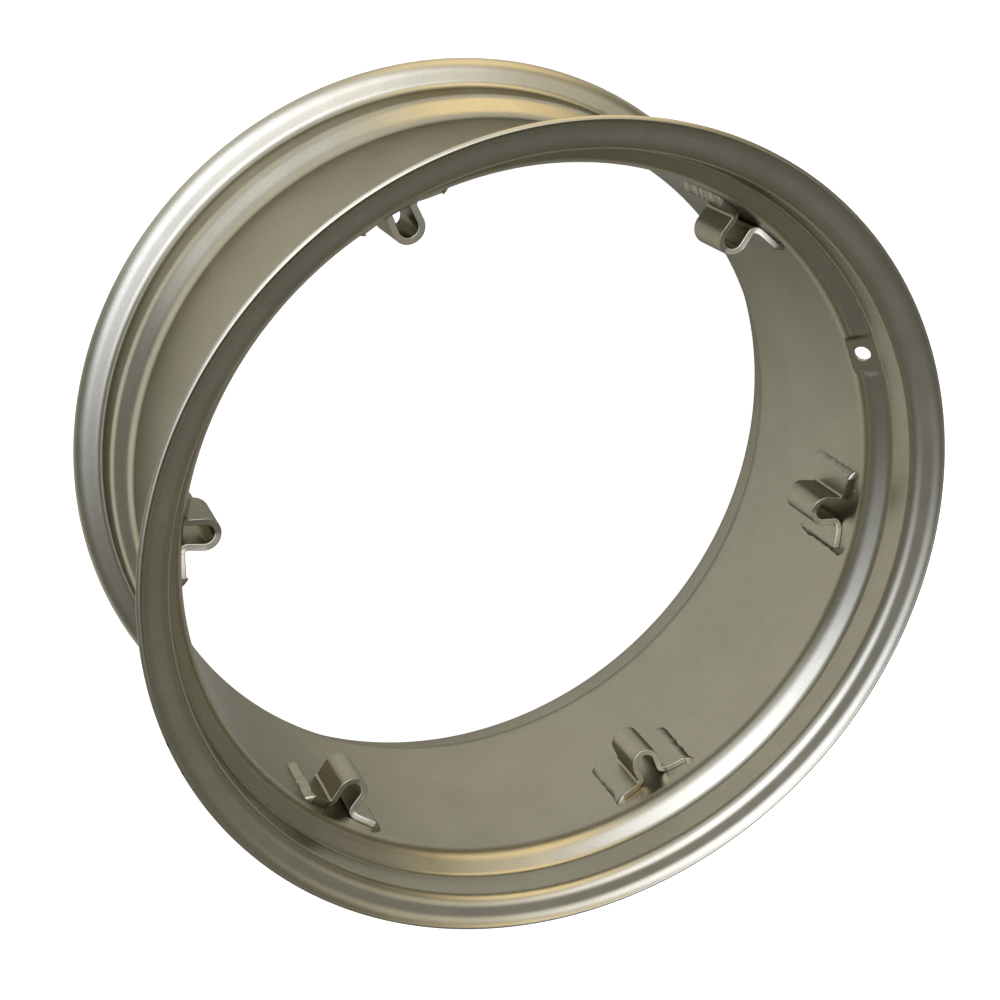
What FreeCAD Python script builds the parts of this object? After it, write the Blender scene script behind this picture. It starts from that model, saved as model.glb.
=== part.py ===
import FreeCAD, Part
import math
import os

# Tractor wheel rim, 12 by 28 inch class: a rolled and welded steel band with six
# bent strap loops welded inside its well, which take the bolts of a wheel disc.
# The rim lies on its rear lip: the wheel axis is Z, the front is +Z, and the origin
# is the centre of the wheel. The valve hole is on the +X side. Sizes in millimetres.

# Band: one strip of sheet, the same section front and rear
rim_diameter = 711.2        # where the bead seats meet the flanges, on the tyre side
flange_height = 25.4
flange_spacing = 298.0      # between the tyre faces of the two flanges
flange_lean = 11.0          # degrees, outwards from square to the axis
lip_angle = 56.0            # degrees, outwards from square to the axis, where the flange ends
sheet = 4.0
seat_width = 32.0           # along the axis, from the flange to the shoulder
seat_taper = 5.0            # degrees
well_depth = 20.6           # from the rim diameter down to the well, on the tyre side
slope_angle = 49.0          # degrees, from the shoulder down to the well
lip_bend = 14.8             # inside radii of the bends
heel_bend = 8.0
shoulder_bend = 5.0
well_bend = 15.0
fold_angle = 44.5           # degrees, the most that a bend of the band turns at one fold

# Valve pad: the slope is pressed back to a gentler ramp and drilled
pad_angle = 39.0            # degrees
pad_flat = 36.0             # round the rim
pad_wall = 8.0              # round the rim, each rounded end wall
pad_foot_bend = 5.0
pad_margin = 3.0            # plain well left beyond the foot of the pad
pad_seat_share = 0.4        # of the seat's width, drawn again with the pad
pad_wall_steps = 4          # sections through each end wall
valve_hole = 15.9
valve_from_shoulder = 16.2  # along the ramp

# Loops: flat strap bent round a pin to an open eye, wider at its feet
loop_count = 6
loop_bore = 17.0
bore_height = 23.0          # from the well up to the centre of a loop's bore
strap = 6.2
loop_middle = 54.0          # height of the middle of the loops above the wheel centre
crown_length = 46.0         # along the axis, at the crown of the loop
root_length = 49.0          # where the legs run out into the feet
flare_length = 58.0         # where the feet have widened
foot_length = 62.8          # at the ends of the feet
leg_reach = 7.6             # from the middle of the loop to where its legs come down
root_reach = 14.0           # to where the strap begins to widen
flare_reach = 21.5          # to where it has widened
foot_reach = 37.0           # to the end of the foot
leg_bend = 2.8              # inside radius between a leg and its foot

# Weld beads: one along the end of each foot
bead_throat = 5.6           # height against the end of the foot
bead_width = 7.0            # along the well
bead_bulge = 1.6            # of its round face
bead_overrun = 2.0          # past the foot, front and rear
bead_end_angle = 55.0       # degrees, of the sloping ends
bead_gap = 0.5              # between a bead and the well

tiny = 1e-6
fuse_slack = 1e-3


def point(xy):
    return FreeCAD.Vector(xy[0], xy[1], 0)


def turned(vector, angle):
    """A vector of the XY plane, turned left by an angle in radians."""
    c, s = math.cos(angle), math.sin(angle)
    return FreeCAD.Vector(vector.x * c - vector.y * s, vector.x * s + vector.y * c, 0)


def strip_side(spots, inside_radii, folds, thickness, offset):
    """Edges along one side of a bent strip that lies to the left of its corners.

    offset is how far to the left of the corners that side is. Each bend is an arc, or
    as many flat folds round its arc as folds gives for it.
    """
    heads = [(b - a).normalize() for a, b in zip(spots, spots[1:])]
    lefts = [turned(h, math.pi / 2) for h in heads]
    edges = []
    here = spots[0] + lefts[0] * offset
    for i, inside in enumerate(inside_radii):
        corner, head, left = spots[i + 1], heads[i], lefts[i]
        turn = math.atan2(head.cross(heads[i + 1]).z, head.dot(heads[i + 1]))
        hand = math.copysign(1, turn)
        bend = inside + (thickness if turn > 0 else 0.0)
        centre = corner - head * (bend * math.tan(abs(turn) / 2)) + left * (hand * bend)
        out = left * (offset - hand * bend)
        if folds:
            step = turn / folds[i]
            stretch = 1 / math.cos(step / 2)
            stops = [centre + turned(out, step * (k + 0.5)) * stretch for k in range(folds[i])]
        else:
            stops = [centre + out]
        for stop in stops:
            if (stop - here).Length > tiny:
                edges.append(Part.makeLine(here, stop))
            here = stop
        if not folds:
            middle, end = (centre + turned(out, angle) for angle in (turn / 2, turn))
            edges.append(Part.Arc(here, middle, end).toShape())
            here = end
    finish = spots[-1] + lefts[-1] * offset
    if (finish - here).Length > tiny:
        edges.append(Part.makeLine(here, finish))
    return edges


def strip_wire(corners, inside_radii, thickness, folds=None):
    """Closed outline, in the XY plane, of a strip that lies to the left of its corners."""
    spots = [point(c) for c in corners]
    near = strip_side(spots, inside_radii, folds, thickness, 0.0)
    far = strip_side(spots, inside_radii, folds, thickness, thickness)
    ends = [
        Part.makeLine(near[0].firstVertex().Point, far[0].firstVertex().Point),
        Part.makeLine(near[-1].lastVertex().Point, far[-1].lastVertex().Point),
    ]
    return Part.Wire(Part.__sortEdges__(near + far + ends))


# Section of the band, as radius and height, on the tyre side

degree = math.pi / 180
seat_radius = rim_diameter / 2
lip_radius = seat_radius + flange_height
well_radius = seat_radius - well_depth
bore_radius = well_radius - sheet
flange_half = flange_spacing / 2
lip_turn = lip_angle - flange_lean
lip_run = (lip_bend + sheet) * math.tan(lip_turn / 2 * degree)
lip_fold_radius = lip_radius - lip_run * math.cos(lip_angle * degree)
lip_fold_half = flange_half + (lip_fold_radius - seat_radius) * math.tan(flange_lean * degree)
lip_half = lip_fold_half + lip_run * math.sin(lip_angle * degree)
shoulder_half = flange_half - seat_width
shoulder_radius = seat_radius - seat_width * math.tan(seat_taper * degree)
slope_drop = shoulder_radius - well_radius
slope_foot = shoulder_half - slope_drop / math.tan(slope_angle * degree)
pad_foot = shoulder_half - slope_drop / math.tan(pad_angle * degree)

front_corners = [
    (well_radius, slope_foot),
    (shoulder_radius, shoulder_half),
    (seat_radius, flange_half),
    (lip_fold_radius, lip_fold_half),
    (lip_radius, lip_half),
]
front_bends = [well_bend, shoulder_bend, heel_bend, lip_bend]
front_turns = [slope_angle, slope_angle - seat_taper, 90.0 - seat_taper - flange_lean, lip_turn]
front_folds = [math.ceil(turn / fold_angle - tiny) for turn in front_turns]
rear_corners = [(r, -z) for r, z in reversed(front_corners)]
band_corners = rear_corners + front_corners
band_bends = front_bends[::-1] + front_bends
band_folds = front_folds[::-1] + front_folds

axis = FreeCAD.Vector(0, 0, 1)
origin = FreeCAD.Vector(0, 0, 0)
up_x = FreeCAD.Vector(1, 0, 0)


def stood_up(wire, angle):
    """A section drawn as radius and height, stood up at an angle round the wheel axis."""
    stood = wire.copy()
    stood.rotate(origin, up_x, 90)
    stood.rotate(origin, axis, angle)
    return stood


band_section = Part.Face(stood_up(strip_wire(band_corners, band_bends, sheet, band_folds), 180))
band = band_section.revolve(origin, axis, 360)

# Valve pad: a window in the slope, filled by the ramp and its two rounded end walls

pad_radius = (well_radius + shoulder_radius) / 2
flat_half_angle = pad_flat / 2 / pad_radius / degree
wall_angle = pad_wall / pad_radius / degree
window_half_angle = flat_half_angle + wall_angle


def slope_wire(share):
    """The strip from the well to the seat: plain slope at share 0, the pad's ramp at share 1."""
    foot = slope_foot + (pad_foot - slope_foot) * share
    foot_bend = well_bend + (pad_foot_bend - well_bend) * share
    seat_end = (
        shoulder_radius + (seat_radius - shoulder_radius) * pad_seat_share,
        shoulder_half + (flange_half - shoulder_half) * pad_seat_share,
    )
    longest_bend = max(well_bend, pad_foot_bend)
    well_start = pad_foot - longest_bend * math.tan(pad_angle / 2 * degree) - pad_margin
    corners = [(well_radius, well_start), (well_radius, foot), (shoulder_radius, shoulder_half), seat_end]
    return strip_wire(corners, [foot_bend, shoulder_bend], sheet, front_folds[:2])


def turned_sector(wire, start, sweep):
    return Part.Face(stood_up(wire, start)).revolve(origin, axis, sweep)


def end_wall(side):
    sections = []
    for step in range(pad_wall_steps + 1):
        along = step / pad_wall_steps
        share = along * along * (3 - 2 * along)
        sections.append(stood_up(slope_wire(share), side * (window_half_angle - wall_angle * along)))
    return Part.makeLoft(sections, True, False)


window = turned_sector(slope_wire(0.0), -window_half_angle, 2 * window_half_angle)
ramp = turned_sector(slope_wire(1.0), -flat_half_angle, 2 * flat_half_angle)
band = band.cut(window).fuse([ramp, end_wall(1), end_wall(-1)], fuse_slack).removeSplitter()

ramp_lean = pad_angle * degree
ramp_in = FreeCAD.Vector(-math.cos(ramp_lean), 0, math.sin(ramp_lean))
ramp_down = FreeCAD.Vector(-math.sin(ramp_lean), 0, -math.cos(ramp_lean))
valve_spot = FreeCAD.Vector(shoulder_radius, 0, shoulder_half) + ramp_down * valve_from_shoulder
drill_length = 3 * sheet
drill = Part.makeCylinder(valve_hole / 2, drill_length, valve_spot - ramp_in * sheet, ramp_in)
band = band.cut(drill)

# Loops: drawn as radius and side in the plane of the wheel, with the strap towards the axis


def on_well(reach, gap=0.0):
    return math.sqrt((bore_radius - gap) ** 2 - reach ** 2)


bore_centre = bore_radius - bore_height
crown_radius = bore_centre - loop_bore / 2
heel_reach = leg_reach + leg_bend + strap
heel = (on_well(heel_reach), heel_reach)
foot = (on_well(foot_reach), foot_reach)
foot_fall = (heel[0] - foot[0]) / (foot_reach - heel_reach)
leg = (heel[0] + foot_fall * (heel_reach - leg_reach), leg_reach)
to_bore = math.hypot(leg[0] - bore_centre, leg_reach)
lean = math.asin(loop_bore / 2 / to_bore) - math.atan2(leg_reach, leg[0] - bore_centre)
crown = (crown_radius, leg_reach + (leg[0] - crown_radius) * math.tan(lean))
half_path = [foot, leg, crown]
loop_corners = [(r, -s) for r, s in half_path] + half_path[::-1]
half_bends = [leg_bend, loop_bore / 2]
loop_section = Part.Face(strip_wire(loop_corners, half_bends + half_bends[::-1], strap))

# The blank's outline seen from the axis: narrow over the loop, wide at the feet
half_outline = [
    (0.0, crown_length / 2),
    (root_reach, root_length / 2),
    (flare_reach, flare_length / 2),
    (foot_reach + strap, foot_length / 2),
]
outline = half_outline + [(s, -h) for s, h in reversed(half_outline)]
outline += [(-s, -h) for s, h in half_outline[1:]] + [(-s, h) for s, h in reversed(half_outline[1:])]
blank_points = [FreeCAD.Vector(0, s, loop_middle + h) for s, h in outline]
blank_face = Part.Face(Part.makePolygon(blank_points + blank_points[:1]))
blank = blank_face.extrude(FreeCAD.Vector(bore_radius + strap, 0, 0))

loop_rise = FreeCAD.Vector(0, 0, loop_middle - foot_length / 2)
loop_bar = loop_section.extrude(FreeCAD.Vector(0, 0, foot_length))
loop_bar.translate(loop_rise)
loop = loop_bar.common(blank)

# Weld beads: a rounded fillet between the end of a foot and the well, with sloping ends

foot_head = (point(foot) - point(heel)).normalize()
foot_up = turned(foot_head, math.pi / 2)
toe_reach = foot_reach + bead_width
bead_root = point(foot) + foot_up * bead_gap
bead_toe = point((on_well(toe_reach, bead_gap), toe_reach))
bead_top = point(foot) + foot_up * bead_throat
bead_face = turned((bead_top - bead_toe).normalize(), -math.pi / 2)
bead_middle = (bead_toe + bead_top) / 2 + bead_face * bead_bulge
bead_edges = [
    Part.makeLine(bead_root, bead_toe),
    Part.Arc(bead_toe, bead_middle, bead_top).toShape(),
    Part.makeLine(bead_top, bead_root),
]
bead_half = foot_length / 2 + bead_overrun
bead_bar = Part.Face(Part.Wire(bead_edges)).extrude(axis * (2 * bead_half))
bead_bar.translate(axis * (loop_middle - bead_half))

keep_points = []
for height, side in ((-bead_throat, -1), (bead_throat, -1), (bead_throat, 1), (-bead_throat, 1)):
    reach = bead_half - height / math.tan(bead_end_angle * degree)
    keep_points.append(point(foot) + foot_up * height + axis * (loop_middle + side * reach))
keep_face = Part.Face(Part.makePolygon(keep_points + keep_points[:1]))
right_bead = bead_bar.common(keep_face.extrude(foot_head * (2 * bead_width)))
left_bead = right_bead.mirror(origin, FreeCAD.Vector(0, 1, 0))

# Writing: one file for each piece

os.makedirs("parts", exist_ok=True)
band.exportStep("parts/rim_band.step")
loop_pitch = 360 / loop_count
for number in range(1, loop_count + 1):
    angle = loop_pitch * (number - 0.5)
    pieces = {"loop": loop, "weld_right": right_bead, "weld_left": left_bead}
    for piece, shape in pieces.items():
        placed = shape.copy()
        placed.rotate(origin, axis, angle)
        placed.exportStep(f"parts/{piece}_{number}.step")
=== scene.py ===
import math
import random

import bmesh
import bpy
from mathutils import Matrix, Vector, noise


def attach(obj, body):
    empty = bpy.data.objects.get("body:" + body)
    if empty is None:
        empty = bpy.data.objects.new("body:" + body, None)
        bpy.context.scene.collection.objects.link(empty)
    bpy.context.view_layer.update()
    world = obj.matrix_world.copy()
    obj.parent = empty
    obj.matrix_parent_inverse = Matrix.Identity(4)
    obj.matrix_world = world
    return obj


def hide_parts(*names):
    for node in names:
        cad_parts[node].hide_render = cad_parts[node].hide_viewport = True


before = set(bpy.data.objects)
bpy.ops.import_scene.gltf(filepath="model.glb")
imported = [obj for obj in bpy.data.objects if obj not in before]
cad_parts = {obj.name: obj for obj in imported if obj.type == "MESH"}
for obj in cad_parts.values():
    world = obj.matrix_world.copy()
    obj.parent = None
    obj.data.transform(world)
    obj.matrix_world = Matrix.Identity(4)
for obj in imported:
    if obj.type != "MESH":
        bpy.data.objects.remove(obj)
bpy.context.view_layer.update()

# Rim band
# One strip of hot-rolled steel, 4 mm thick, rolled to a hoop with a dropped well, leaning
# flanges and flared lips, pressed back at the valve pad and drilled there. Painted silver.
mm = 0.001
degree = math.pi / 180
seat_radius = 355.6
lip_radius = 381.0
well_radius = 335.0
sheet = 4.0
flange_half = 149.0
flange_lean, lip_angle = 11.0, 56.0
shoulder_half = 117.0
shoulder_radius = 352.80
slope_angle = 49.0
pad_angle = 39.0
slope_drop = shoulder_radius - well_radius
slope_foot = shoulder_half - slope_drop / math.tan(slope_angle * degree)
pad_foot = shoulder_half - slope_drop / math.tan(pad_angle * degree)
well_bend, shoulder_bend, heel_bend, lip_bend = 19.0, 9.0, 8.0, 14.8
lip_head = Vector((math.cos(lip_angle * degree), math.sin(lip_angle * degree)))
lip_run = (lip_bend + sheet) * math.tan((lip_angle - flange_lean) / 2 * degree)
lip_fold_radius = lip_radius - lip_run * lip_head.x
lip_fold_half = flange_half + (lip_fold_radius - seat_radius) * math.tan(flange_lean * degree)
lip_half = lip_fold_half + lip_run * lip_head.y
rear_face = -(lip_half + sheet * lip_head.x)
pad_foot_bend = 5.0
pad_flat, pad_wall = 31.0, 9.0
valve_radius = 7.95
valve_from_shoulder = 16.2
lip_round = 0.8
bend_hold = 1.5
lip_steps, heel_steps, shoulder_steps, well_steps = 12, 12, 7, 9
plain_step = 1.2
lip_chips = [(173.5, 2.0), (178.2, 2.5), (286.0, 1.5), (303.5, 2.0), (312.8, 3.5), (316.5, 2.5)]
chip_step = 0.24
edge_depth, edge_height = 2.5, 1.5
chip_wear, edge_rub = 1.6, 0.72
crease_angle = 35
pad_step = 0.15
pad_reach = 6.0


def bent_strip(corners, inside_radii, arc_steps, thickness):
    """Matching points down the two sides of a strip that lies to the left of its corners."""
    spots = [Vector(c) for c in corners]
    heads = [(b - a).normalized() for a, b in zip(spots, spots[1:])]
    lefts = [Vector((-h.y, h.x)) for h in heads]
    near, far = [spots[0]], [spots[0] + lefts[0] * thickness]
    for i, inside in enumerate(inside_radii):
        head, left = heads[i], lefts[i]
        turn = math.atan2(head.cross(heads[i + 1]), head.dot(heads[i + 1]))
        hand = math.copysign(1, turn)
        bend = inside + (thickness if turn > 0 else 0.0)
        centre = spots[i + 1] - head * (bend * math.tan(abs(turn) / 2)) + left * (hand * bend)
        arc_near, arc_far = [], []
        for k in range(arc_steps[i] + 1):
            out = Matrix.Rotation(turn * k / arc_steps[i], 2) @ left
            arc_near.append(centre - out * (hand * bend))
            arc_far.append(centre + out * (thickness - hand * bend))
        run = (arc_near[0] - near[-1]).length
        if run > 3 * bend_hold:
            holds = [near[-1] + head * bend_hold, arc_near[0] - head * bend_hold]
            near += holds
            far += [spot + left * thickness for spot in holds]
        near += arc_near
        far += arc_far
    if (spots[-1] - near[-1]).length > bend_hold:
        near.append(spots[-1])
        far.append(spots[-1] + lefts[-1] * thickness)
    return near, far


def rounded_end(near, far, back, radius, steps=3):
    """Points across the end of a strip, from its near side to its far side, with round edges."""
    across = (far - near).normalized()
    points = []
    for corner, side in ((near, 1), (far, -1)):
        centre = corner + across * (side * radius) + back * radius
        arc = [
            centre - across * (side * radius * math.cos(k / steps * math.pi / 2))
            - back * (radius * math.sin(k / steps * math.pi / 2))
            for k in range(steps + 1)
        ]
        points += arc if side > 0 else arc[::-1]
    return points


def band_section(share):
    """The band's whole outline as radius and height; share 1 is the pressed valve pad."""
    foot = slope_foot + (pad_foot - slope_foot) * share
    foot_bend = well_bend + (pad_foot_bend - well_bend) * share
    rear = [
        (lip_radius, -lip_half), (lip_fold_radius, -lip_fold_half), (seat_radius, -flange_half),
        (shoulder_radius, -shoulder_half), (well_radius, -slope_foot),
    ]
    front = [
        (well_radius, foot), (shoulder_radius, shoulder_half), (seat_radius, flange_half),
        (lip_fold_radius, lip_fold_half), (lip_radius, lip_half),
    ]
    rear_bends = [lip_bend, heel_bend, shoulder_bend, well_bend]
    front_bends = [foot_bend, shoulder_bend, heel_bend, lip_bend]
    steps = [lip_steps, heel_steps, shoulder_steps, well_steps]
    near, far = bent_strip(rear + front, rear_bends + front_bends, steps + steps[::-1], sheet)
    rear_back = Vector((-lip_head.x, lip_head.y))
    front_end = rounded_end(near[-1], far[-1], -lip_head, lip_round)
    rear_end = rounded_end(near[1], far[1], rear_back, lip_round)
    return near[2:-1] + front_end + far[-2:1:-1] + rear_end[::-1]


pad_radius = (well_radius + shoulder_radius) / 2
window_half = pad_flat / 2 + pad_wall
ring_angles = [k * plain_step for k in range(round(360 / plain_step))]
ring_angles = [a for a in ring_angles if pad_reach <= a <= 360 - pad_reach]
fine_count = round(pad_reach / pad_step)
ring_angles += [k * pad_step for k in range(-fine_count + 1, fine_count)]
chip_count = round(plain_step / chip_step)
for chip_angle, _ in lip_chips:
    ring_angles += [chip_angle + k * chip_step for k in range(-chip_count, chip_count + 1)]
ring_angles = sorted({round(a % 360, 3) for a in ring_angles})

band_points, edge_wear = [], []
for angle in ring_angles:
    arc = min(angle, 360 - angle) * degree * pad_radius
    along = min(max((window_half - arc) / pad_wall, 0.0), 1.0)
    section = band_section(along * along * (3 - 2 * along))
    turn = Vector((math.cos(angle * degree), math.sin(angle * degree)))
    chipped = max(1 - abs(angle - at) * degree * lip_radius / size for at, size in lip_chips)
    for r, z in section:
        band_points.append((r * turn.x * mm, r * turn.y * mm, z * mm))
        on_edge = r > lip_radius - edge_depth and abs(z) > lip_half - edge_height
        rubbed = chip_wear if z > 0 and chipped > 0 else edge_rub
        edge_wear.append(rubbed if on_edge else 0.0)
ring_size = len(section)
band_faces = []
for i in range(len(ring_angles)):
    j = (i + 1) % len(ring_angles)
    for k in range(ring_size):
        m = (k + 1) % ring_size
        here, there = i * ring_size, j * ring_size
        band_faces.append((here + k, there + k, there + m, here + m))


def make_piece(name, points, faces, sharp_angle, wear):
    """A mesh piece with smooth shading up to an angle, and a wear value at each point."""
    mesh = bpy.data.meshes.new(name)
    mesh.from_pydata(points, [], faces)
    mesh.attributes.new("wear", "FLOAT", "POINT").data.foreach_set("value", wear)
    shaped = bmesh.new()
    shaped.from_mesh(mesh)
    bmesh.ops.recalc_face_normals(shaped, faces=shaped.faces)
    shaped.to_mesh(mesh)
    shaped.free()
    mesh.shade_smooth()
    mesh.set_sharp_from_angle(angle=sharp_angle * degree)
    piece = bpy.data.objects.new(name, mesh)
    bpy.context.scene.collection.objects.link(piece)
    return piece


band = make_piece("painted_rim_band", band_points, band_faces, crease_angle, edge_wear)

# The valve hole's cutter: a drill that breaks a little flare in the tyre side
hole_lean = pad_angle * degree
hole_in = Vector((-math.cos(hole_lean), 0, math.sin(hole_lean)))
hole_down = Vector((-math.sin(hole_lean), 0, -math.cos(hole_lean)))
hole_spot = Vector((shoulder_radius, 0, shoulder_half)) + hole_down * valve_from_shoulder
hole_side = Vector((0, 1, 0))
hole_sides = 64
hole_flare, flare_depth = 0.5, 0.6
hole_nibble, nibble_turns = 0.16, 3
hole_wear = 0.6
drill_before, drill_beyond = 6.0, 10.0
flare_radius = valve_radius + hole_flare
hole_profile = [
    (-drill_before, flare_radius), (0.0, flare_radius),
    (flare_depth, valve_radius), (drill_beyond, valve_radius),
]
cut_points, cut_faces = [], []
for depth, radius in hole_profile:
    for k in range(hole_sides):
        a = 2 * math.pi * k / hole_sides
        place = Vector((nibble_turns * math.cos(a), nibble_turns * math.sin(a), depth))
        nibble = hole_nibble * noise.noise(place)
        out = hole_down * math.cos(a) + hole_side * math.sin(a)
        cut_points.append((hole_spot + hole_in * depth + out * (radius + nibble)) * mm)
for row in range(len(hole_profile) - 1):
    for k in range(hole_sides):
        m = (k + 1) % hole_sides
        a, b = row * hole_sides, (row + 1) * hole_sides
        cut_faces.append((a + k, a + m, b + m, b + k))
cut_faces.append(tuple(range(hole_sides)))
cut_faces.append(tuple(range(len(cut_points) - hole_sides, len(cut_points))))
cut_wear = [hole_wear] * len(cut_points)
drill = make_piece("valve_drill", cut_points, cut_faces, crease_angle, cut_wear)
cut = band.modifiers.new("valve_hole", "BOOLEAN")
cut.operation = "DIFFERENCE"
cut.solver = "EXACT"
cut.object = drill
bpy.context.view_layer.update()
drilled = bpy.data.meshes.new_from_object(band.evaluated_get(bpy.context.evaluated_depsgraph_get()))
band.modifiers.clear()
band.data = drilled
bpy.data.objects.remove(drill)
drilled.set_sharp_from_angle(angle=crease_angle * degree)


def linear(hex_colour):
    """A colour socket's value for an sRGB hex colour."""
    parts = [int(hex_colour[i:i + 2], 16) / 255 for i in (1, 3, 5)]
    return [c / 12.92 if c <= 0.04045 else ((c + 0.055) / 1.055) ** 2.4 for c in parts] + [1.0]


def add_node(tree, kind, settings, inputs):
    """A node with its settings, and each input as a plain value or a link from an output."""
    made = tree.nodes.new(kind)
    for name, value in settings.items():
        setattr(made, name, value)
    for name, value in inputs.items():
        if isinstance(value, bpy.types.NodeSocket):
            tree.links.new(value, made.inputs[name])
        else:
            made.inputs[name].default_value = value
    return made


def per_mm(size):
    """The texture scale whose features are about that many millimetres across."""
    return 1000 / size


grain_size, peel_size, speck_size, smear_size, cloud_size = 1.6, 3, 5, 25, 60
tone_dark, tone_light = 0.65, 1.35
bare_from, bare_full = 0.5, 0.56
peel_depth, satin_spread = 0.006, 0.03


# Silver rim paint: aluminium flake in a satin lacquer, sprayed in one coat. It mirrors its
# surroundings softly, so its folds draw bright lines; its grey leans to olive, with a fine
# grain, and darkens at a glancing view, because the flakes lie flat in the coat.
def silver_paint(name, light_hex, dark_hex, rough):
    paint = bpy.data.materials.new(name)
    paint.use_nodes = True
    tree = paint.node_tree
    tree.nodes.clear()
    place = add_node(tree, "ShaderNodeTexCoord", {}, {}).outputs["Object"]
    # Flake grain, drawn at 1.6 mm where real flakes are far finer, so that it shows at all
    grain = add_node(tree, "ShaderNodeTexNoise", {}, {
        "Vector": place, "Scale": per_mm(grain_size), "Detail": 1.0}).outputs["Fac"]
    cloud = add_node(tree, "ShaderNodeTexNoise", {}, {
        "Vector": place, "Scale": per_mm(cloud_size),
        "Detail": 4.0, "Roughness": 0.6}).outputs["Fac"]
    mottle = add_node(tree, "ShaderNodeMath", {"operation": "ADD"}, {0: grain, 1: cloud}).outputs[0]
    tone = add_node(tree, "ShaderNodeMapRange", {}, {
        "Value": mottle, "From Min": tone_dark, "From Max": tone_light}).outputs["Result"]
    coat = add_node(tree, "ShaderNodeMix", {"data_type": "RGBA"}, {
        0: tone, 6: linear(dark_hex), 7: linear(light_hex)}).outputs[2]
    # Chips, where the wear value lets the noise break through to dark scale
    worn = add_node(tree, "ShaderNodeAttribute", {"attribute_name": "wear"}, {}).outputs["Fac"]
    speck = add_node(tree, "ShaderNodeTexNoise", {}, {
        "Vector": place, "Scale": per_mm(speck_size),
        "Detail": 4.0, "Roughness": 0.6}).outputs["Fac"]
    chip = add_node(tree, "ShaderNodeMath", {"operation": "MULTIPLY"}, {
        0: worn, 1: speck}).outputs[0]
    bare = add_node(tree, "ShaderNodeMapRange", {}, {
        "Value": chip, "From Min": bare_from, "From Max": bare_full}).outputs["Result"]
    colour = add_node(tree, "ShaderNodeMix", {"data_type": "RGBA"}, {
        0: bare, 6: coat, 7: linear("#3B382F")}).outputs[2]
    smear = add_node(tree, "ShaderNodeTexNoise", {}, {
        "Vector": place, "Scale": per_mm(smear_size),
        "Detail": 5.0, "Roughness": 0.7}).outputs["Fac"]
    satin = add_node(tree, "ShaderNodeMapRange", {}, {
        "Value": smear, "From Min": 0.25, "From Max": 0.75,
        "To Min": rough - satin_spread, "To Max": rough + satin_spread}).outputs["Result"]
    peel = add_node(tree, "ShaderNodeTexNoise", {}, {
        "Vector": place, "Scale": per_mm(peel_size), "Detail": 2.0}).outputs["Fac"]
    bumped = add_node(tree, "ShaderNodeBump", {}, {
        "Height": peel, "Distance": peel_depth * mm, "Strength": 1.0}).outputs["Normal"]
    shader = add_node(tree, "ShaderNodeBsdfPrincipled", {}, {
        "Base Color": colour, "Metallic": 1.0, "Roughness": satin, "Normal": bumped,
        "Specular Tint": linear("#A8A8A8")})
    add_node(tree, "ShaderNodeOutputMaterial", {}, {"Surface": shader.outputs["BSDF"]})
    return paint


band.data.materials.clear()
band.data.materials.append(silver_paint("silver_paint_on_rolled_sheet", "#B2AD97", "#A49F89", 0.32))
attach(band, "root")
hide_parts("rim_band")

# Strap loops
# Six open loops of flat steel strap, 6 mm thick, sheared to a blank that is wider at its
# feet, bent cold round a pin and welded by their feet in the well. Painted with the band.
loop_count = 6
bore_radius = well_radius - sheet
loop_bore, bore_height = 17.0, 23.0
strap = 6.2
strap_round, edge_hold = 0.7, 0.4
loop_middle = 54.0
leg_reach, foot_reach = 7.6, 37.0
leg_bend = 2.8
blank_outline = [(0.0, 23.0), (14.0, 24.5), (21.5, 29.0), (43.2, 31.4)]
outline_soft = 0.7
leg_steps, crown_steps, round_steps = 12, 14, 3
strap_crease = 40


def on_well(reach):
    return math.sqrt(bore_radius ** 2 - reach ** 2)


def half_length(reach):
    """Half of the blank's length along the axis, with the corners of its outline eased."""
    total, samples = 0.0, (-1.0, -0.5, 0.0, 0.5, 1.0)
    for share in samples:
        at = min(abs(abs(reach) + share * outline_soft), blank_outline[-1][0])
        for (s0, h0), (s1, h1) in zip(blank_outline, blank_outline[1:]):
            if s0 <= at <= s1:
                total += h0 + (h1 - h0) * (at - s0) / (s1 - s0)
                break
    return total / len(samples)


def tube_faces(rows, size):
    """Faces from each ring of points to the next, and a flat one over each end."""
    faces = []
    for i in range(rows - 1):
        here, there = i * size, (i + 1) * size
        for k in range(size):
            m = (k + 1) % size
            faces.append((here + k, there + k, there + m, here + m))
    return faces + [tuple(range(size)), tuple(range((rows - 1) * size, rows * size))]


bore_centre = bore_radius - bore_height
crown_radius = bore_centre - loop_bore / 2
heel_reach = leg_reach + leg_bend + strap
heel = (on_well(heel_reach), heel_reach)
foot = (on_well(foot_reach), foot_reach)
foot_fall = (heel[0] - foot[0]) / (foot_reach - heel_reach)
leg = (heel[0] + foot_fall * (heel_reach - leg_reach), leg_reach)
to_bore = math.hypot(leg[0] - bore_centre, leg_reach)
lean = math.asin(loop_bore / 2 / to_bore) - math.atan2(leg_reach, leg[0] - bore_centre)
crown = (crown_radius, leg_reach + (leg[0] - crown_radius) * math.tan(lean))
half_path = [foot, leg, crown]
loop_path = [(r, -s) for r, s in half_path] + half_path[::-1]
half_bends = [leg_bend, loop_bore / 2]
half_steps = [leg_steps, crown_steps]
loop_bends = half_bends + half_bends[::-1]
loop_steps = half_steps + half_steps[::-1]
strap_near, strap_far = bent_strip(loop_path, loop_bends, loop_steps, strap)

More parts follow.
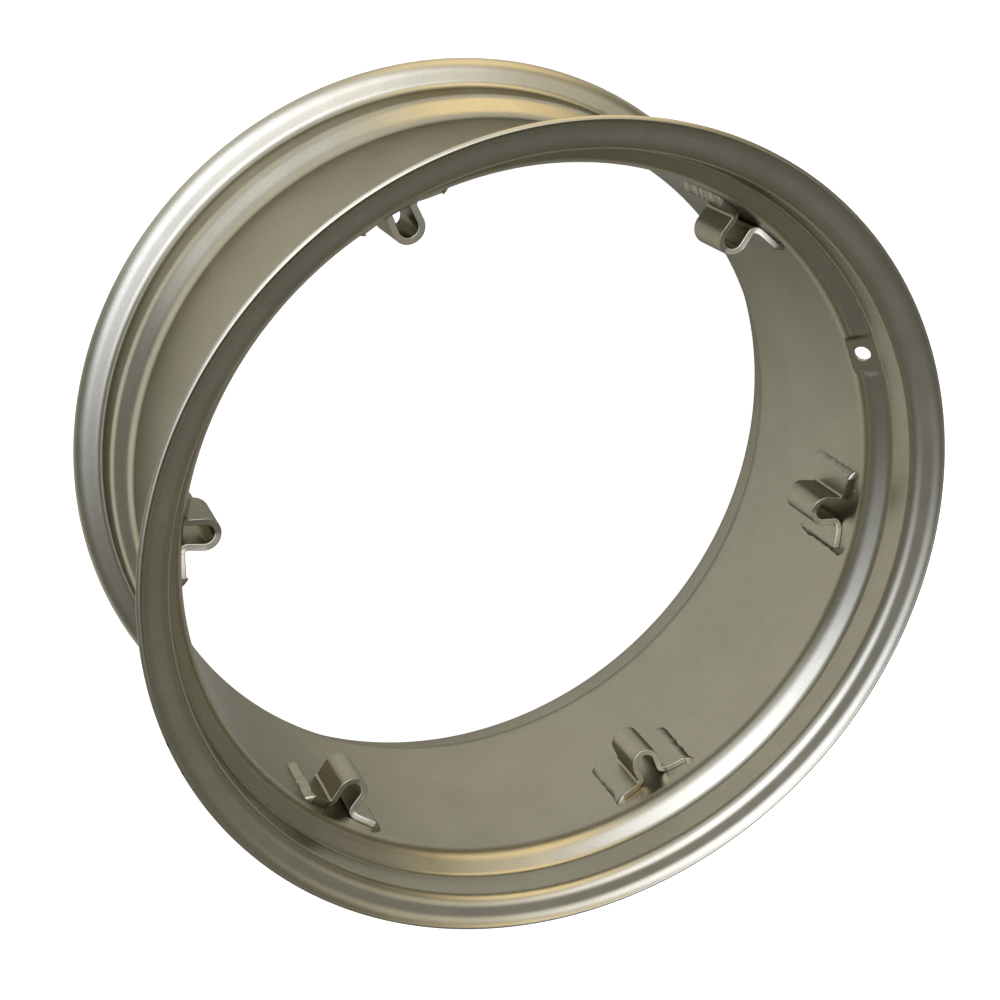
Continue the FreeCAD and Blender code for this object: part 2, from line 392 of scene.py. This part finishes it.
strap_paint = silver_paint("silver_paint_on_sheared_strap", "#B2AD97", "#A49F89", 0.34)
half_edge = [(0.0, strap_round + edge_hold)]
for k in range(round_steps + 1):
    bend = k / round_steps * math.pi / 2
    half_edge.append((strap_round * (1 - math.cos(bend)), strap_round * (1 - math.sin(bend))))
half_edge.append((strap_round + edge_hold, 0.0))
strap_edge = half_edge + [(strap - depth, drop) for depth, drop in half_edge[::-1]]
for number in range(1, loop_count + 1):
    turn = Matrix.Rotation((number - 0.5) * 2 * math.pi / loop_count, 3, "Z")
    strap_points = []
    for near, far in zip(strap_near, strap_far):
        across = (far - near).normalized()
        front, rear = [], []
        for depth, drop in strap_edge:
            spot = near + across * depth
            half = half_length(spot.y) - drop
            front.append((spot.x, spot.y, loop_middle + half))
            rear.append((spot.x, spot.y, loop_middle - half))
        for spot in front + rear[::-1]:
            strap_points.append(turn @ Vector(spot) * mm)
    strap_faces = tube_faces(len(strap_near), len(front) * 2)
    unworn = [0.0] * len(strap_points)
    loop = make_piece(f"bent_strap_loop_{number}", strap_points, strap_faces, strap_crease, unworn)
    loop.data.materials.append(strap_paint)
    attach(loop, "root")
    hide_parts(f"loop_{number}")

# Weld beads
# A run of arc-weld metal laid by hand along the end of each foot: an uneven, rippled face with
# a wandering toe, a swollen start at the front and a few drops of spatter. Painted with the rest.
bead_throat, bead_width, bead_bulge = 6.0, 7.4, 0.7
bead_overrun = 2.0
bead_nose, nose_power, nose_least = 2.6, 3.0, 1e-4
start_swell, start_length = 0.3, 3.6
ripple_pitch, ripple_height, ripple_sweep = 2.6, 0.015, 1.6
wander_length, fine_length, lump_length = 9.0, 3.5, 6.0
toe_wander, toe_fine = 0.24, 0.04
top_lump, top_fine, bulge_lump = 0.12, 0.02, 0.5
bead_seed, side_seed, fine_seed, lump_seed = 7.3, 3.1, 5, 9
bead_rows, bead_arc = 110, 9
bead_crease = 60
bead_half = blank_outline[-1][1] + bead_overrun
foot_head = (Vector(foot) - Vector(heel)).normalized()
foot_up = Vector((-foot_head.y, foot_head.x))
weld_paint = silver_paint("silver_paint_on_weld_metal", "#B4B09B", "#9F9A84", 0.32)
drops_each, drop_small, drop_large, drop_height = 3, 0.5, 1.1, 0.8
drop_near, drop_far, drop_sunk = 0.8, 3.6, 0.3
drop_before, drop_beyond = 16, 5
drop_rows, drop_sides = 4, 10

for number in range(1, loop_count + 1):
    turn = Matrix.Rotation((number - 0.5) * 2 * math.pi / loop_count, 3, "Z")
    for hand, side in (("right", 1), ("left", -1)):
        seed = Vector((number * bead_seed, side * side_seed, 0.0))
        bead_points = []
        for row in range(bead_rows + 1):
            run = math.sin((row / bead_rows - 0.5) * math.pi)
            z = run * bead_half
            to_end = min((1 - abs(run)) * bead_half / bead_nose, 1.0)
            nose = max(1 - (1 - to_end) ** nose_power, nose_least) ** (1 / nose_power)
            wander = noise.noise(seed + Vector((0, 0, z / wander_length)))
            fine = noise.noise(seed + Vector((fine_seed, 0, z / fine_length)))
            lump = noise.noise(seed + Vector((lump_seed, 0, z / lump_length)))
            start = start_swell * math.exp(-((bead_half - z) / start_length) ** 2)
            toe_share = 1.0 + start / 2 + toe_wander * wander + toe_fine * fine
            toe_reach = foot_reach + bead_width * nose * toe_share
            root = Vector(foot)
            toe = Vector((on_well(toe_reach), toe_reach))
            top_share = 1.0 + start + top_lump * lump + top_fine * fine
            top = root + foot_up * (bead_throat * nose * top_share)
            face_out = Vector(((top - toe).y, -(top - toe).x)).normalized()
            if face_out.dot(foot_head) < 0:
                face_out = -face_out
            ring = [root]
            for k in range(bead_arc + 1):
                share = k / bead_arc
                swell = 4 * share * (1 - share)
                phase = 2 * math.pi * (z + ripple_sweep * swell) / ripple_pitch
                ripple = ripple_height * math.cos(phase)
                rise = bead_bulge * (1 + bulge_lump * lump) + ripple
                ring.append(toe.lerp(top, share) + face_out * swell * nose * rise)
            for r, s in ring:
                bead_points.append(turn @ Vector((r, s * side, loop_middle + z)) * mm)
        bead_faces = tube_faces(bead_rows + 1, len(ring))
        scatter = random.Random(number * 2 + side)
        for drop in range(drops_each):
            drop_size = scatter.uniform(drop_small, drop_large)
            drop_reach = scatter.uniform(foot_reach - drop_before, foot_reach + drop_beyond)
            drop_z = loop_middle + bead_half + scatter.uniform(drop_near, drop_far)
            drop_top = drop_height * drop_size
            base = len(bead_points)
            for k in range(drop_rows):
                tilt = k / drop_rows * math.pi / 2
                for j in range(drop_sides):
                    spin = 2 * math.pi * j / drop_sides
                    s = drop_reach + drop_size * math.cos(tilt) * math.cos(spin)
                    r = on_well(s) + drop_sunk - (drop_top + drop_sunk) * math.sin(tilt)
                    z = drop_z + drop_size * math.cos(tilt) * math.sin(spin)
                    bead_points.append(turn @ Vector((r, s * side, z)) * mm)
            crest = Vector((on_well(drop_reach) - drop_top, drop_reach * side, drop_z))
            bead_points.append(turn @ crest * mm)
            for k in range(drop_rows - 1):
                for j in range(drop_sides):
                    a, b = base + k * drop_sides, base + (k + 1) * drop_sides
                    m = (j + 1) % drop_sides
                    bead_faces.append((a + j, a + m, b + m, b + j))
            last = base + (drop_rows - 1) * drop_sides
            for j in range(drop_sides):
                bead_faces.append((last + j, last + (j + 1) % drop_sides, len(bead_points) - 1))
            bead_faces.append(tuple(range(base, base + drop_sides)))
        unworn = [0.0] * len(bead_points)
        bead_name = f"weld_bead_{hand}_{number}"
        bead = make_piece(bead_name, bead_points, bead_faces, bead_crease, unworn)
        bead.data.materials.append(weld_paint)
        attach(bead, "root")
        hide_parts(f"weld_{hand}_{number}")

# Floor, lamps and camera
# A plain white studio floor under the rear lip, one soft box lamp and the glows of a dim room
# above it, and one camera where the photograph was taken from.
floor_size = 12.0
floor_seen = 0.92
painted_glow_most_way = (-0.6, 0.8, 0.0)
painted_glow_least_at, painted_glow_most_at = -0.2, 0.5
painted_glow_least, painted_glow_most = 0.29, 0.62
floor_mesh = bpy.data.meshes.new("studio_floor")
floor_z = rear_face * mm
half = floor_size / 2
floor_mesh.from_pydata([
    (-half, -half, floor_z), (half, -half, floor_z),
    (half, half, floor_z), (-half, half, floor_z),
], [], [(0, 1, 2, 3)])
floor = bpy.data.objects.new("studio_floor", floor_mesh)
bpy.context.scene.collection.objects.link(floor)
# Matt white floor paint: plain white to the eye; in the metal a softer grey, a painted reflection
# where the floor glows with a strength graded across it
floor_paint = bpy.data.materials.new("white_floor_paint_with_painted_glow")
floor_paint.use_nodes = True
tree = floor_paint.node_tree
tree.nodes.clear()
path = add_node(tree, "ShaderNodeLightPath", {}, {}).outputs
seen = add_node(tree, "ShaderNodeMath", {"operation": "MAXIMUM"}, {
    0: path["Is Camera Ray"], 1: path["Is Transmission Ray"]}).outputs[0]
seen = add_node(tree, "ShaderNodeMath", {"operation": "MULTIPLY"}, {
    0: seen, 1: floor_seen}).outputs[0]
# Painted reflection: in the metal the floor glows brighter towards -X +Y, on the side of the room's
# glow, and dimmer on the far side
spot = add_node(tree, "ShaderNodeTexCoord", {}, {}).outputs["Object"]
painted_glow_side = add_node(tree, "ShaderNodeVectorMath", {"operation": "DOT_PRODUCT"}, {
    0: spot, 1: painted_glow_most_way}).outputs["Value"]
painted_reflection_glow = add_node(tree, "ShaderNodeMapRange", {}, {
    "Value": painted_glow_side, "From Min": painted_glow_least_at, "From Max": painted_glow_most_at,
    "To Min": painted_glow_least, "To Max": painted_glow_most}).outputs["Result"]
glow = add_node(tree, "ShaderNodeMath", {"operation": "MULTIPLY_ADD"}, {
    0: path["Is Glossy Ray"], 1: painted_reflection_glow, 2: seen}).outputs[0]
matt = add_node(tree, "ShaderNodeBsdfDiffuse", {}, {"Color": linear("#B3AFA3")})
lit = add_node(tree, "ShaderNodeEmission", {}, {"Color": linear("#FFFFFF"), "Strength": glow})
both = add_node(tree, "ShaderNodeAddShader", {}, {0: matt.outputs[0], 1: lit.outputs[0]})
add_node(tree, "ShaderNodeOutputMaterial", {}, {"Surface": both.outputs[0]})
floor_mesh.materials.append(floor_paint)

# The room is dim but for a wide cool glow high over the +Y side, a low one under it, two faint
# ones at its ends and a small warm one towards +X; the eye itself sees a white backdrop
room_level = 0.24
world = bpy.data.worlds.new("studio_air")
bpy.context.scene.world = world
world.use_nodes = True
tree = world.node_tree
tree.nodes.clear()
look = add_node(tree, "ShaderNodeTexCoord", {}, {}).outputs["Generated"]
room = add_node(tree, "ShaderNodeBackground", {}, {
    "Color": linear("#F3F3F3"), "Strength": room_level}).outputs[0]
# Each glow: bearing and height in degrees, cosines where it starts and is full, strength
for azimuth, height, start, full, strength, hex_colour in (
        (95, 65, 0.76, 0.97, 3.4, "#D7DFFF"), (98, 20, 0.72, 0.97, 1.0, "#E2E6F5"),
        (160, 60, 0.86, 0.98, 0.7, "#D7DFFF"), (12, 60, 0.84, 0.98, 0.7, "#FFF3DC"),
        (42, 15, 0.88, 0.985, 2.0, "#FFE6BA")):
    towards = Vector((
        math.cos(height * degree) * math.cos(azimuth * degree),
        math.cos(height * degree) * math.sin(azimuth * degree),
        math.sin(height * degree),
    ))
    near_middle = add_node(tree, "ShaderNodeVectorMath", {"operation": "DOT_PRODUCT"}, {
        0: look, 1: towards}).outputs["Value"]
    glow = add_node(tree, "ShaderNodeMapRange", {"interpolation_type": "SMOOTHSTEP"}, {
        "Value": near_middle, "From Min": start, "From Max": full,
        "To Max": strength}).outputs["Result"]
    lobe = add_node(tree, "ShaderNodeBackground", {}, {
        "Color": linear(hex_colour), "Strength": glow}).outputs[0]
    room = add_node(tree, "ShaderNodeAddShader", {}, {0: room, 1: lobe}).outputs[0]
path = add_node(tree, "ShaderNodeLightPath", {}, {}).outputs
seen = add_node(tree, "ShaderNodeMath", {"operation": "MAXIMUM"}, {
    0: path["Is Camera Ray"], 1: path["Is Transmission Ray"]}).outputs[0]
backdrop = add_node(tree, "ShaderNodeBackground", {}, {
    "Color": linear("#FFFFFF"), "Strength": 1.0}).outputs[0]
room = add_node(tree, "ShaderNodeMixShader", {}, {0: seen, 1: room, 2: backdrop}).outputs[0]
add_node(tree, "ShaderNodeOutputWorld", {}, {"Surface": room})


def soft_box(name, towards, distance, width, height, glow, hex_colour):
    """A rectangular lamp of a given brightness, aimed at the middle of the wheel."""
    lamp = bpy.data.lights.new(name, "AREA")
    lamp.shape = "RECTANGLE"
    lamp.size, lamp.size_y = width, height
    lamp.energy = glow * math.pi * width * height
    lamp.color = linear(hex_colour)[:3]
    box = bpy.data.objects.new(name, lamp)
    spot = Vector(towards).normalized() * distance
    box.location = spot
    box.rotation_euler = (-spot).to_track_quat("-Z", "Y").to_euler()
    bpy.context.scene.collection.objects.link(box)


soft_box(
    "key_box", towards=(-0.04, 0.44, 0.90), distance=3.0, width=1.2, height=1.2,
    glow=0.9, hex_colour="#E4EAFF")

# The camera stands where the photograph was taken from, turned by the picture's own axes
eye = Vector((-0.2682, 0.7851, 1.3604))
eye_right = Vector((0.85632, -0.35908, 0.371176))
eye_up = Vector((0.49033, 0.79096, -0.366017))
eye_back = eye_right.cross(eye_up)
camera_data = bpy.data.cameras.new("photo_camera")
camera_data.sensor_width = 36.0
camera_data.lens = 60.27
camera = bpy.data.objects.new("photo_camera", camera_data)
camera.matrix_world = Matrix((
    (eye_right.x, eye_up.x, eye_back.x, eye.x),
    (eye_right.y, eye_up.y, eye_back.y, eye.y),
    (eye_right.z, eye_up.z, eye_back.z, eye.z),
    (0, 0, 0, 1),
))
bpy.context.scene.collection.objects.link(camera)
bpy.context.scene.camera = camera
bpy.context.scene.view_settings.view_transform = "Standard"
